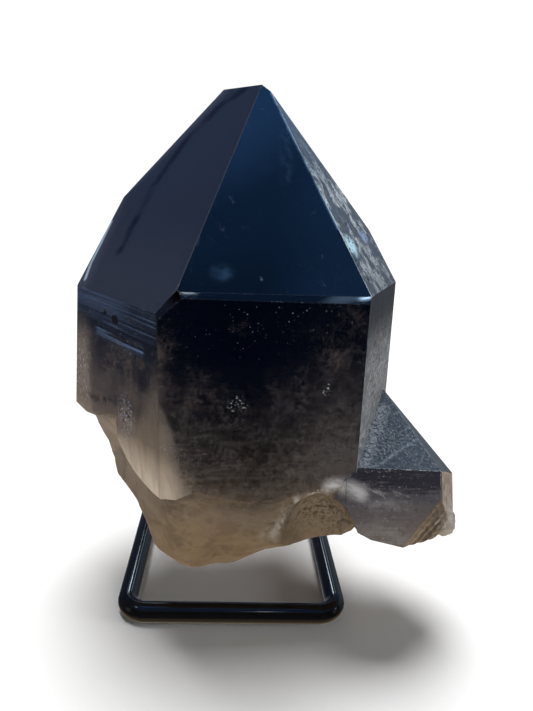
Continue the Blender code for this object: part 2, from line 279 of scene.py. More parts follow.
def roughen(shape, layer):
    """Push every vertex in or out by the relief of its surface, and leave the edges between faces sharp.

    Two values are kept for the material: how deep a point is into the break, and how near the spur's crest.
    """
    deep_layer = shape.verts.layers.float.new("deep")
    crest_layer = shape.verts.layers.float.new("crest")
    shape.normal_update()
    broken = ZONES.index(BROKEN)
    border = []
    rim = []
    for vert in shape.verts:
        zones = {face[layer] for face in vert.link_faces}
        if len(zones) > 1:
            border.append(vert.co.copy())
            if broken in zones:
                rim.append(vert.co.copy())
    trees = []
    for places in (border, rim):
        tree = kdtree.KDTree(len(places))
        for index, place in enumerate(places):
            tree.insert(place, index)
        tree.balance()
        trees.append(tree)
    shifts = []
    for vert in shape.verts:
        zones = {face[layer] for face in vert.link_faces}
        kind = KIND_OF[ZONES[min(zones)]]
        crest = max(0.0, 1.0 - distance_to_crest(vert.co) / (SPUR_HOLLOW_REACH * MM))
        vert[crest_layer] = crest
        if kind == "broken" and len(zones) == 1:
            vert[deep_layer] = min(1.0, trees[1].find(vert.co)[2] / (6 * MM))
        height = KINDS[kind][2] * MM
        if not height or len(zones) > 1:
            continue
        away = trees[0].find(vert.co)[2]
        fade = min(1.0, away / ((3.0 if kind == "broken" else 1.2) * MM))
        shift = vert.normal * height * fade * rough_height(kind, vert.co)
        if kind == "broken":
            shift += carve(vert.co, crest) * min(1.0, away / MM)
        shifts.append((vert, shift))
    for vert, shift in shifts:
        vert.co += shift


def write_attributes(mesh):
    """One mask for each kind of surface, for the material to read."""
    zones = [item.value for item in mesh.attributes["zone"].data]
    for kind in KINDS:
        values = [1.0 if KIND_OF[ZONES[zone]] == kind else 0.0 for zone in zones]
        mesh.attributes.new(kind, "FLOAT", "FACE").data.foreach_set("value", values)


def make_crystal(node, place):
    shape = bmesh.new()
    shape.from_mesh(node.data)
    shape.transform(place.inverted())
    bmesh.ops.remove_doubles(shape, verts=shape.verts[:], dist=0.01 * MM)
    bmesh.ops.dissolve_degenerate(shape, dist=SMALLEST * MM, edges=shape.edges[:])
    bmesh.ops.dissolve_limit(shape, angle_limit=math.radians(0.3), verts=shape.verts[:], edges=shape.edges[:])
    shape.normal_update()
    layer = shape.faces.layers.int.new("zone")
    mark_zones(shape, layer)
    wear_edges(shape, layer)
    bmesh.ops.dissolve_degenerate(shape, dist=SMALLEST * MM, edges=shape.edges[:])
    bmesh.ops.triangulate(shape, faces=shape.faces[:])
    refine(shape, layer)
    roughen(shape, layer)
    shape.normal_update()
    for face in shape.faces:
        face.smooth = True
        face.material_index = 0
    for edge in shape.edges:
        zones = {face[layer] for face in edge.link_faces}
        edge.smooth = len(zones) == 1 or (ZONES.index(BROKEN) in zones and edge.calc_face_angle(0) < SOFT_EDGE)
    print("triangles", len(shape.faces))
    mesh = bpy.data.meshes.new("crystal")
    shape.to_mesh(mesh)
    shape.free()
    write_attributes(mesh)
    mesh.transform(place)
    crystal = bpy.data.objects.new("crystal", mesh)
    bpy.context.scene.collection.objects.link(crystal)
    return crystal


def bend(before, corner, after, radius, steps=14):
    """Points of the arc that rounds a corner of the rod."""
    back = (before - corner).normalized()
    ahead = (after - corner).normalized()
    half_angle = back.angle(ahead) / 2
    centre = corner + (back + ahead).normalized() * radius / math.sin(half_angle)
    start = corner + back * radius / math.tan(half_angle) - centre
    end = corner + ahead * radius / math.tan(half_angle) - centre
    turn = start.angle(end)
    axis = start.cross(end).normalized()
    return [centre + Matrix.Rotation(turn * step / steps, 3, axis) @ start for step in range(steps + 1)]


def rod_path():
    floor = ROD_DIAMETER / 2
    left = STAND_CENTRE_X - ARM_SPACING / 2
    right = STAND_CENTRE_X + ARM_SPACING / 2
    half_top = POST_TOP_SPACING / 2
    corners = (
        (Vector((STAND_CENTRE_X - half_top, POST_TOP_Y, POST_TOP_HEIGHT)), 0.0),
        (Vector((left, REAR_BEND_Y, floor)), REAR_BEND_RADIUS),
        (Vector((left, FRONT_BAR_Y, floor)), FRONT_BEND_RADIUS),
        (Vector((right, FRONT_BAR_Y, floor)), FRONT_BEND_RADIUS),
        (Vector((right, REAR_BEND_Y, floor)), REAR_BEND_RADIUS),
        (Vector((STAND_CENTRE_X + half_top, POST_TOP_Y, POST_TOP_HEIGHT)), 0.0),
    )
    path = [corners[0][0]]
    for index in range(1, len(corners) - 1):
        corner, radius = corners[index]
        path += bend(corners[index - 1][0], corner, corners[index + 1][0], radius)
    path.append(corners[-1][0])
    return path


def make_rod(shift):
    """The bent rod as one round tube with closed ends."""
    path = [(point * MM + shift) for point in rod_path()]
    shape = bmesh.new()
    rings = []
    across = Vector((0, 0, 1))
    for index, point in enumerate(path):
        ahead = path[min(index + 1, len(path) - 1)] - path[max(index - 1, 0)]
        ahead.normalize()
        side = ahead.cross(across).normalized()
        across = side.cross(ahead).normalized()
        rings.append([
            shape.verts.new(point + (side * math.cos(turn) + across * math.sin(turn)) * ROD_DIAMETER / 2 * MM)
            for turn in (step * math.tau / ROD_SIDES for step in range(ROD_SIDES))])
    for near, far in zip(rings, rings[1:]):
        for step in range(ROD_SIDES):
            after = (step + 1) % ROD_SIDES
            shape.faces.new((near[step], near[after], far[after], far[step]))
    shape.faces.new(rings[0][::-1])
    shape.faces.new(rings[-1])
    bmesh.ops.recalc_face_normals(shape, faces=shape.faces[:])
    for face in shape.faces:
        face.smooth = len(face.verts) == 4
    mesh = bpy.data.meshes.new("stand_rod")
    shape.to_mesh(mesh)
    shape.free()
    rod = bpy.data.objects.new("stand_rod", mesh)
    bpy.context.scene.collection.objects.link(rod)
    return rod


class Graph:
    """Short ways to add and join the nodes of one material or world."""

    def __init__(self, tree):
        self.tree = tree
        self.nodes = tree.nodes

    def add(self, kind, settings=None, **inputs):
        node = self.nodes.new(kind)
        for name, value in (settings or {}).items():
            setattr(node, name, value)
        for name, value in inputs.items():
            socket = node.inputs[int(name[1:])] if name[0] == "i" and name[1:].isdigit() \
                else node.inputs[name.replace("_", " ")]
            self.put(socket, value)
        return node

    def put(self, socket, value):
        if isinstance(value, bpy.types.NodeSocket):
            self.tree.links.new(value, socket)
        elif value is not None:
            socket.default_value = value

    def math(self, operation, first, second=None, third=None, clamp=False):
        node = self.add("ShaderNodeMath", {"operation": operation, "use_clamp": clamp})
        for socket, value in zip(node.inputs, (first, second, third)):
            self.put(socket, value)
        return node.outputs[0]

    def ramp(self, value, low, high, start=0.0, end=1.0, smooth=True):
        """Value goes from start to end while the input goes from low to high."""
        node = self.add("ShaderNodeMapRange", {"interpolation_type": "SMOOTHSTEP" if smooth else "LINEAR"})
        for socket, item in zip(node.inputs[:5], (value, low, high, start, end)):
            self.put(socket, item)
        return node.outputs[0]

    def colours(self, value, stops):
        node = self.add("ShaderNodeValToRGB", Fac=value)
        ramp = node.color_ramp
        while len(ramp.elements) < len(stops):
            ramp.elements.new(0.5)
        for element, (position, shade) in zip(ramp.elements, stops):
            element.position = position
            element.color = colour(*shade)
        return node.outputs["Color"]

    def mix(self, share, first, second):
        node = self.add("ShaderNodeMix", {"data_type": "RGBA", "clamp_factor": True})
        self.put(node.inputs[0], share)
        self.put(node.inputs[6], first)
        self.put(node.inputs[7], second)
        return node.outputs[2]

    def mix_value(self, share, first, second):
        node = self.add("ShaderNodeMix", {"data_type": "FLOAT", "clamp_factor": True})
        self.put(node.inputs[0], share)
        self.put(node.inputs[2], first)
        self.put(node.inputs[3], second)
        return node.outputs[0]

    def scale(self, vector, factors):
        node = self.add("ShaderNodeVectorMath", {"operation": "MULTIPLY"})
        self.put(node.inputs[0], vector)
        node.inputs[1].default_value = factors
        return node.outputs[0]

    def noise(self, vector, scale, detail=3.0, roughness=0.55, distortion=0.0):
        node = self.add("ShaderNodeTexNoise", Vector=vector, Scale=scale, Detail=detail,
                        Roughness=roughness, Distortion=distortion)
        return node.outputs[0]

    def ridges(self, vector, scale, detail=6.0, roughness=0.6, distortion=0.0):
        """Thin bright lines and patches, from 0 to a little over 1."""
        node = self.add("ShaderNodeTexNoise", {"noise_type": "RIDGED_MULTIFRACTAL", "normalize": False},
                        Vector=vector, Scale=scale, Detail=detail, Roughness=roughness, Distortion=distortion,
                        Offset=1.0, Gain=2.0)
        return node.outputs[0]

    def times(self, *values):
        result = values[0]
        for value in values[1:]:
            result = self.math("MULTIPLY", result, value)
        return result

    def plus(self, *values):
        result = values[0]
        for value in values[1:]:
            result = self.math("ADD", result, value)
        return result

    def along(self, point, start, end, radius, hard=0.3):
        """1 on the line between two points, falling to 0 at a radius about it, all in millimetres."""
        start, end = Vector(start) * MM, Vector(end) * MM
        length = (end - start).length
        shifted = self.add("ShaderNodeVectorMath", {"operation": "SUBTRACT"})
        self.put(shifted.inputs[0], point)
        shifted.inputs[1].default_value = start
        dot = self.add("ShaderNodeVectorMath", {"operation": "DOT_PRODUCT"})
        self.put(dot.inputs[0], shifted.outputs[0])
        dot.inputs[1].default_value = (end - start) / length
        clamped = self.math("MINIMUM", self.math("MAXIMUM", dot.outputs["Value"], 0.0), length)
        foot = self.add("ShaderNodeVectorMath", {"operation": "SCALE"})
        foot.inputs[0].default_value = (end - start) / length
        self.put(foot.inputs["Scale"], clamped)
        gap = self.add("ShaderNodeVectorMath", {"operation": "DISTANCE"})
        self.put(gap.inputs[0], shifted.outputs[0])
        self.put(gap.inputs[1], foot.outputs[0])
        return self.ramp(gap.outputs["Value"], radius * MM, radius * hard * MM)

    def aligned(self, point, axis, squeeze):
        """The point in a frame whose third axis is the given one, with lengths along that axis squeezed."""
        axis = Vector(axis).normalized()
        side = axis.orthogonal().normalized()
        parts = []
        for way in (side, axis.cross(side), axis * squeeze):
            dot = self.add("ShaderNodeVectorMath", {"operation": "DOT_PRODUCT"})
            self.put(dot.inputs[0], point)
            dot.inputs[1].default_value = way
            parts.append(dot.outputs["Value"])
        return self.add("ShaderNodeCombineXYZ", X=parts[0], Y=parts[1], Z=parts[2]).outputs[0]

    def path(self, point, places, radius, hard=0.3):
        """1 on a bent line through some places, falling to 0 at a radius about it."""
        parts = [self.along(point, start, end, radius, hard) for start, end in zip(places, places[1:])]
        result = parts[0]
        for part in parts[1:]:
            result = self.math("MAXIMUM", result, part)
        return result

    def mask(self, name):
        return self.add("ShaderNodeAttribute", {"attribute_name": name}).outputs["Fac"]

    def near(self, point, centre, radii):
        """1 inside an ellipsoid about a point, falling to 0 at its surface."""
        shifted = self.add("ShaderNodeVectorMath", {"operation": "SUBTRACT"})
        self.put(shifted.inputs[0], point)
        shifted.inputs[1].default_value = [value * MM for value in centre]
        squeezed = self.scale(shifted.outputs[0], [1 / (value * MM) for value in radii])
        length = self.add("ShaderNodeVectorMath", {"operation": "LENGTH"})
        self.put(length.inputs[0], squeezed)
        return self.ramp(length.outputs["Value"], 1.0, 0.25)


def new_material(name):
    material = bpy.data.materials.new(name)
    material.use_nodes = True
    graph = Graph(material.node_tree)
    shader = graph.nodes["Principled BSDF"]
    return material, graph, shader


def colour(red, green, blue):
    return (red, green, blue, 1.0)


def crystal_point(graph, place):
    """The surface point in the crystal's own frame."""
    mapping = graph.add("ShaderNodeMapping", {"vector_type": "TEXTURE"},
                        Vector=graph.add("ShaderNodeTexCoord").outputs["Object"])
    mapping.inputs["Location"].default_value = place.translation
    mapping.inputs["Rotation"].default_value = (0, 0, math.radians(CRYSTAL_TURN))
    return mapping.outputs[0]


def specks(graph, point, cells, size, share):
    """Up to 1 on sparse small dots: cells per metre, widest dot as a part of a cell, share of cells with one."""
    dots = graph.add("ShaderNodeTexVoronoi", {"feature": "F1"}, Vector=point, Scale=cells)
    chosen, wide, bright = graph.add("ShaderNodeSeparateColor", Color=dots.outputs["Color"]).outputs
    reach = graph.math("MULTIPLY_ADD", graph.math("POWER", wide, 2.0), size, size * 0.35)
    near = graph.ramp(graph.math("DIVIDE", dots.outputs["Distance"], reach), 1.0, 0.6)
    return graph.times(near, graph.math("LESS_THAN", chosen, share), graph.ramp(bright, 0.0, 1.0, 0.25, 1.0))


def scratches(graph, point, turn, spacing, share):
    """Fine broken lines, all in one direction."""
    turned = graph.add("ShaderNodeMapping", Vector=point)
    turned.inputs["Rotation"].default_value = turn
    lines = graph.noise(graph.scale(turned.outputs[0], (18.0, spacing, 18.0)), 1.0, 2.0, 0.5)
    thin = graph.ramp(graph.math("ABSOLUTE", graph.math("SUBTRACT", lines, 0.5)), 0.006, 0.0)
    pieces = graph.ramp(graph.noise(turned.outputs[0], 120.0, 3.0, 0.6), share, share + 0.06)
    return graph.times(thin, pieces)


class Finish:
    """Colour, clearness and roughness, built up layer by layer."""

    def __init__(self, graph, body, clear, rough):
        self.graph = graph
        self.body = body
        self.clear = clear
        self.rough = rough

    def cover(self, share, shade, clear=None, rough=None):
        graph = self.graph
        self.body = graph.mix(share, self.body, colour(*shade) if isinstance(shade, tuple) else shade)
        if clear is not None:
            self.clear = graph.mix_value(share, self.clear, clear)
        if rough is not None:
            self.rough = graph.mix_value(share, self.rough, rough)


def quartz_material(place):
    material, graph, shader = new_material("smoky_quartz")
    point = crystal_point(graph, place)
    x, y, z = graph.add("ShaderNodeSeparateXYZ", Vector=point).outputs
    polished, hazed, plain, grown, flaky, etched, pebbled, dull, worn = (graph.mask(kind) for kind in (
        "polished", "hazed", "plain", "grown", "flaky", "etched", "pebbled", "dull", "worn"))
    deep = graph.mask("deep")
    crest = graph.mask("crest")
    solid = graph.math("SUBTRACT", 1.0, deep)

    wide = graph.noise(point, 30.0, 4.0, 0.6, 0.6)
    cloud = graph.noise(point, 85.0, 6.0, 0.66, 0.5)
    fleck = graph.noise(point, 300.0, 5.0, 0.78, 0.3)
    grain = graph.noise(point, 620.0, 3.0, 0.65)
    streaks = graph.noise(graph.scale(point, (38.0, 38.0, 700.0)), 1.0, 4.0, 0.65)
    bands = graph.noise(graph.scale(point, (10.0, 10.0, 150.0)), 1.0, 3.0, 0.6)
    pebble = graph.noise(point, 900.0, 4.0, 0.76, 0.4)

    # Milky haze in clear smoke: it fills the foot, thins out upward and climbs along both sides
    warped = graph.plus(z, *(
        graph.math("MULTIPLY", graph.math("SUBTRACT", texture, 0.5), reach * MM)
        for texture, reach in ((wide, 40), (cloud, 9), (fleck, 5), (streaks, 6), (bands, 12))))
    right = graph.times(graph.ramp(x, 0 * MM, 40 * MM), graph.ramp(warped, 186 * MM, 104 * MM), 0.36)
    left = graph.times(graph.ramp(x, -12 * MM, -42 * MM), graph.ramp(warped, 172 * MM, 100 * MM), 0.36)
    core = graph.near(point, (6, -61, 88), (32, 16, 22))
    haze = graph.plus(graph.ramp(warped, 140 * MM, 60 * MM), right, left, graph.times(core, -0.20))
    soft = graph.times(graph.ramp(cloud, 0.3, 0.7, 0.84, 1.14), graph.ramp(fleck, 0.36, 0.66, 0.72, 1.26),
                       graph.ramp(streaks, 0.38, 0.62, 0.88, 1.10))
    haze = graph.times(haze, graph.mix_value(graph.ramp(z, 60 * MM, 84 * MM), 1.0, soft))
    low = graph.ramp(warped, 30 * MM, 160 * MM, smooth=False)
    milk = graph.colours(low, (
        (0.04, (0.280, 0.180, 0.094)), (0.14, (0.235, 0.150, 0.079)), (0.24, (0.160, 0.108, 0.066)),
        (0.34, (0.098, 0.074, 0.055)), (0.46, (0.068, 0.056, 0.050)), (0.62, (0.060, 0.050, 0.046)),
        (1.0, (0.044, 0.040, 0.042)),
    ))
    smoke = graph.colours(low, ((0.3, (0.018, 0.014, 0.012)), (0.75, (0.008, 0.007, 0.010))))
    look = Finish(graph, graph.mix(haze, smoke, milk), graph.mix_value(haze, 0.985, 0.32),
                  graph.mix_value(haze, 0.06, 0.20))
    look.rough = graph.mix_value(polished, look.rough, 0.03)

    # Rusty clouds, threads and faint growth lines, seen most through the front
    rusts = (
        ((33, -60, 134), (8, 6, 9), 0.75), ((40, -60, 150), (8, 6, 8), 0.55), ((-36, -60, 137), (8, 6, 12), 0.55),
        ((-5, -60, 146), (7, 6, 5), 0.45), ((28, -61, 92), (7, 6, 6), 0.6), ((17, -61, 118), (14, 6, 10), 0.35),
        ((-22, -61, 118), (14, 6, 12), 0.35), ((-37, -57, 120), (5, 8, 10), 0.5),
    )
    rust = graph.times(graph.ramp(wide, 0.50, 0.72), graph.ramp(haze, 0.02, 0.35))
    for centre, radii, share in rusts:
        rust = graph.math("MAXIMUM", rust, graph.times(graph.near(point, centre, radii), share))
    wisps = graph.ridges(point, 95.0, 6.0, 0.72, 0.6)
    look.cover(graph.times(rust, graph.ramp(fleck, 0.38, 0.64), graph.plus(plain, grown), 0.85),
               (0.120, 0.086, 0.068), 0.5)
    threads = graph.times(graph.ramp(wisps, 1.3, 2.6), graph.ramp(haze, 0.0, 0.3), plain)
    look.cover(graph.times(threads, graph.ramp(grain, 0.4, 0.6), 0.35), (0.17, 0.15, 0.14), 0.5)
    look.cover(graph.times(graph.ramp(streaks, 0.54, 0.66), graph.ramp(z, 116 * MM, 84 * MM), plain, 0.42),
               (0.13, 0.11, 0.095), 0.5)

    # The left face: grown in steps, with painted blue sky reflection on its upper part and step lines, and painted
    # light through its thin far edge
    rise = graph.ramp(z, 95 * MM, 150 * MM, smooth=False)
    steps = graph.noise(graph.scale(point, (7.0, 7.0, 820.0)), 1.0, 4.0, 0.65)
    left_face = graph.times(grown, graph.ramp(x, -36 * MM, -40 * MM), graph.ramp(y, 14 * MM, 10 * MM))
    # The top stop of this height ramp is a painted blue sky reflection; the lower stops are the face's tan and smoke
    shade = graph.colours(graph.math("MULTIPLY_ADD", graph.math("SUBTRACT", bands, 0.5), 0.5, rise), (
        (0.05, (0.135, 0.104, 0.084)), (0.25, (0.094, 0.073, 0.063)), (0.5, (0.032, 0.026, 0.026)),
        (0.72, (0.010, 0.010, 0.013)), (0.95, (0.050, 0.072, 0.130)),
    ))
    look.cover(left_face, shade, 0.35, 0.14)
    clear_part = graph.times(graph.ramp(z, 120 * MM, 142 * MM), left_face)
    look.cover(graph.times(clear_part, graph.ramp(x, -58 * MM, -46 * MM), 0.75), (0.005, 0.006, 0.010))
    look.cover(graph.times(clear_part, graph.ramp(steps, 0.48, 0.38), 0.75), (0.006, 0.007, 0.012))
    # Painted reflection: pale blue lines on the steps, for sky light caught by them
    look.cover(graph.times(clear_part, graph.ramp(steps, 0.55, 0.66), graph.ramp(fleck, 0.35, 0.6, 0.5, 1.0), 0.6),
               (0.12, 0.18, 0.32))
    mottled = graph.times(left_face, graph.ramp(z, 140 * MM, 124 * MM))
    look.cover(graph.times(mottled, graph.ramp(cloud, 0.46, 0.62), graph.ramp(fleck, 0.36, 0.60), 0.6),
               (0.135, 0.098, 0.074))
    look.cover(graph.times(mottled, graph.ramp(cloud, 0.50, 0.36), graph.ramp(x, -56 * MM, -46 * MM, 0.3, 0.85)),
               (0.016, 0.012, 0.011))
    look.cover(graph.times(left_face, graph.ramp(fleck, 0.54, 0.70), 0.30), (0.20, 0.165, 0.14))
    ledge = ((-76.7, 8.5, 95), (-66.7, -9, 98.5), (-57.5, -24.9, 103), (-50, -38, 101))
    look.cover(graph.times(graph.path(point, ledge, 3.0, 0.1), grown, graph.ramp(fleck, 0.54, 0.44), 0.95),
               (0.014, 0.011, 0.010), 0.3)
    # Painted glints: two streaks of fine pale blue lines where the steps catch the sky
    hair = graph.noise(graph.scale(point, (9.0, 9.0, 1150.0)), 1.0, 4.0, 0.6)
    painted_glint = graph.math("MAXIMUM", graph.along(point, (-64, -14, 133), (-44, -49, 133), 3.6, 0.0),
                       graph.along(point, (-54, -31, 141.5), (-43, -50, 141), 2.2, 0.1))
    look.cover(graph.times(painted_glint, graph.ramp(hair, 0.49, 0.58), grown, 0.60), (0.20, 0.31, 0.54))
    # Painted light: a pale cream strip along the thin far edge, for light shining through it
    painted_edge_light = graph.times(graph.ramp(graph.math("MULTIPLY_ADD", cloud, 12 * MM, x), -60 * MM, -66 * MM),
                        graph.ramp(z, 142 * MM, 116 * MM), left_face)
    look.cover(graph.times(painted_edge_light, graph.ramp(grain, 0.35, 0.65, 0.6, 1.0), 0.85), (0.350, 0.285, 0.235), 0.3, 0.3)
    # Painted shade: a near-black spot where the left face has a pit
    painted_pit_shade = graph.ramp(graph.near(point, (-55.5, -29.1, 141.1), (3.6, 4.8, 3.0)), 0.1, 0.5)
    look.cover(graph.times(painted_pit_shade, grown), (0.004, 0.003, 0.003), 0.1, 0.5)

    # The spur: cream where the left face and the front run out above the break
    edge_gap = graph.math("SQRT", graph.plus(
        graph.math("POWER", graph.math("ADD", x, 41 * MM), 2.0), graph.math("POWER", graph.math("ADD", y, 61 * MM), 2.0)))
    fall_left = graph.math("MULTIPLY_ADD", graph.math("EXPONENT", graph.math("MULTIPLY", edge_gap, -110.0)), 48 * MM, 94 * MM)
    fall_front = graph.math("MULTIPLY_ADD", graph.math("EXPONENT", graph.math("MULTIPLY", edge_gap, -105.0)), 52 * MM, 71 * MM)
    torn = graph.math("MULTIPLY", graph.math("SUBTRACT", cloud, 0.5), 20 * MM)
    spur = graph.times(grown, graph.ramp(x, -34 * MM, -37 * MM),
                       graph.ramp(graph.math("SUBTRACT", graph.math("ADD", z, torn), fall_left), 8 * MM, -10 * MM))
    spur_front = graph.times(plain, graph.ramp(x, -17 * MM, -37 * MM),
                             graph.ramp(graph.math("SUBTRACT", graph.math("ADD", z, torn), fall_front), 9 * MM, -9 * MM))
    cream = graph.colours(graph.ramp(graph.math("MULTIPLY_ADD", torn, 0.3, z), 74 * MM, 122 * MM, smooth=False), (
        (0.05, (0.74, 0.60, 0.46)), (0.22, (0.53, 0.42, 0.305)), (0.42, (0.220, 0.165, 0.113)),
        (0.75, (0.150, 0.114, 0.084)), (1.0, (0.085, 0.066, 0.054)),
    ))
    drop = graph.math("POWER", graph.math("MULTIPLY", graph.math("SUBTRACT", z, 82 * MM), 1 / (35 * MM)), 2.0)
    scallop = graph.times(plain, graph.ramp(graph.math("MULTIPLY_ADD", drop, 10 * MM, x), -26.6 * MM, -29.2 * MM),
                          graph.ramp(z, 74 * MM, 84 * MM), graph.ramp(z, 117 * MM, 111 * MM))
    look.cover(graph.times(scallop, graph.ramp(cloud, 0.30, 0.60, 0.6, 1.0), graph.ramp(x, -27 * MM, -36 * MM, 0.4, 1.0)),
               (0.205, 0.168, 0.136), 0.35)
    look.cover(graph.times(graph.along(point, (-38.5, -60, 108), (-38.5, -60, 136), 6.5, 0.0), plain,
                           graph.ramp(cloud, 0.34, 0.60, 0.3, 1.0), 0.7), (0.130, 0.108, 0.090), 0.4)
    spur_edge = graph.times(worn, graph.near(point, (-41, -61, 86), (18, 18, 46)))
    spur_all = graph.math("MAXIMUM", graph.math("MAXIMUM", spur, graph.times(spur_front, 0.8)), spur_edge)
    fibres = graph.noise(graph.aligned(point, (0.25, -0.1, -1.0), 0.12), 330.0, 4.0, 0.7)
    look.cover(graph.times(spur_all, graph.ramp(fibres, 0.3, 0.6, 0.78, 1.0)), cream, 0.25, 0.25)
    look.cover(graph.times(graph.near(point, (-51, -35, 98), (9, 15, 10)), grown, graph.ramp(fleck, 0.36, 0.56)),
               (0.230, 0.178, 0.135), 0.3)
    # Painted glints: small bluish sparkles on the spur, for light caught by tiny facets
    painted_sparkle = graph.times(graph.near(point, (-51, -37, 100), (8, 12, 14)), graph.ramp(pebble, 0.57, 0.63), grown)
    look.cover(painted_sparkle, (0.50, 0.57, 0.78), 0.2)

    # The break: tan under the stone, darker olive in the scoop, a painted shadow close under the spur's crest
    # Painted shadow: a darker band on the break close under the spur's crest, where its lip overhangs
    under = graph.times(deep, graph.ramp(crest, 0.0, 0.7), graph.ramp(z, 78 * MM, 58 * MM))
    look.cover(graph.times(deep, graph.ramp(x, -30 * MM, -42 * MM), graph.ramp(z, 50 * MM, 74 * MM), 0.9),
               (0.40, 0.305, 0.215), 0.3, 0.3)
    look.cover(graph.times(under, 0.6), (0.190, 0.132, 0.080), 0.3, 0.3)
    scoop = graph.times(graph.near(point, (31, -64, 62), (29, 28, 27)), deep)
    shell = graph.ridges(point, 120.0, 5.0, 0.7, 0.8)
    look.cover(graph.times(scoop, 0.95), graph.mix(graph.ramp(cloud, 0.38, 0.62), colour(0.042, 0.027, 0.012),
                                                   colour(0.165, 0.113, 0.058)), 0.3, 0.3)
    look.cover(graph.times(deep, graph.ramp(shell, 0.9, 1.9), 0.30), (0.34, 0.26, 0.17))
    torn_rock = graph.ridges(graph.aligned(point, (0.8, -0.2, 0.6), 0.8), 430.0, 4.0, 0.75, 0.4)
    look.cover(graph.times(scoop, graph.ramp(torn_rock, 0.90, 0.45), 0.50), (0.036, 0.024, 0.013))
    look.cover(graph.times(scoop, graph.ramp(torn_rock, 1.6, 2.2), 0.7), (0.46, 0.37, 0.26))
    look.cover(graph.times(deep, graph.near(point, (2, -60, 64), (30, 14, 14)), 0.45), (0.150, 0.120, 0.095))
    look.cover(graph.times(deep, graph.near(point, (3, -60, 72), (30, 16, 11)), graph.ramp(cloud, 0.3, 0.6, 1.0, 0.6),
                           0.75), (0.050, 0.037, 0.028))
    look.cover(graph.times(deep, graph.ramp(cloud, 0.50, 0.66), 0.50), (0.11, 0.075, 0.042))
    look.cover(graph.times(deep, graph.ramp(fleck, 0.57, 0.70), 0.35), (0.42, 0.34, 0.25))
    look.cover(graph.times(deep, graph.ramp(fleck, 0.42, 0.32), 0.35), (0.09, 0.062, 0.038))
    look.cover(graph.times(scoop, 0.32), (0.016, 0.009, 0.001))
    look.rough = graph.mix_value(deep, look.rough, 0.30)
    dent = graph.ramp(graph.near(point, (-60.5, -20.5, 142.4), (5, 5, 4)), 0.0, 0.3)
    look.cover(graph.times(dent, graph.mask("broken")), (0.012, 0.014, 0.022), 0.4)

    # The right point face: smooth blue-grey above, crumpled bright flakes below, with two painted glints
    leaning = graph.aligned(point, (33.9, -64.5, -82.2), 0.7)
    crumple = graph.ridges(leaning, 520.0, 5.0, 0.75, 1.0)
    patch = graph.noise(leaning, 110.0, 5.0, 0.65)
    lower = graph.ramp(graph.math("MULTIPLY_ADD", patch, 60 * MM, z), 262 * MM, 228 * MM)
    look.cover(flaky, (0.045, 0.070, 0.110), 0.4, 0.2)
    look.cover(graph.times(flaky, lower), (0.028, 0.037, 0.050), 0.3, 0.24)
    flakes = graph.times(graph.ramp(crumple, 1.52, 2.05), graph.ramp(patch, 0.46, 0.58, 0.08, 1.0), lower, flaky,
                         graph.ramp(z, 160 * MM, 190 * MM, 0.45, 0.8))
    look.cover(flakes, (0.80, 0.87, 0.90), 0.15)
    look.cover(graph.times(flaky, lower, graph.ramp(crumple, 0.9, 0.4), 0.8), (0.014, 0.019, 0.026))
    # Painted glints: two bright blue-white patches on the crumpled flakes, for sky light caught by them
    painted_glint_ridges = graph.ramp(crumple, 1.1, 1.7)
    look.cover(graph.times(graph.near(point, (43, -38, 177), (7, 12, 7)), flaky, painted_glint_ridges), (0.55, 0.85, 1.0), 0.1)
    look.cover(graph.times(graph.near(point, (57, -11, 179), (7, 11, 4)), flaky, painted_glint_ridges, 0.8), (0.28, 0.42, 0.70), 0.2)

    # The right prism face and the back of the point: grey frost
    brushed = graph.noise(graph.aligned(point, (0.45, 0.78, 0.45), 0.25), 760.0, 5.0, 0.78, 0.3)
    frost = graph.math("MULTIPLY_ADD", brushed, 0.6, graph.math("MULTIPLY", fleck, 0.4))
    dusk = graph.ramp(graph.math("MULTIPLY_ADD", cloud, 24 * MM, z), 163 * MM, 136 * MM, 0.03, 1.0)
    look.cover(etched, (0.020, 0.022, 0.027), 0.45, 0.34)
    look.cover(graph.times(etched, dusk, graph.ramp(frost, 0.42, 0.58, 0.20, 1.0)), (0.50, 0.51, 0.52), 0.25)
    look.cover(graph.times(etched, graph.ramp(pebble, 0.56, 0.64), dusk), (0.78, 0.82, 0.85), 0.2)
    look.cover(graph.times(etched, graph.ramp(pebble, 0.46, 0.36), 0.6), (0.045, 0.047, 0.053))
    look.cover(graph.times(graph.near(point, (61, -42, 136), (10, 16, 8)), etched, 0.35), (0.26, 0.19, 0.15))

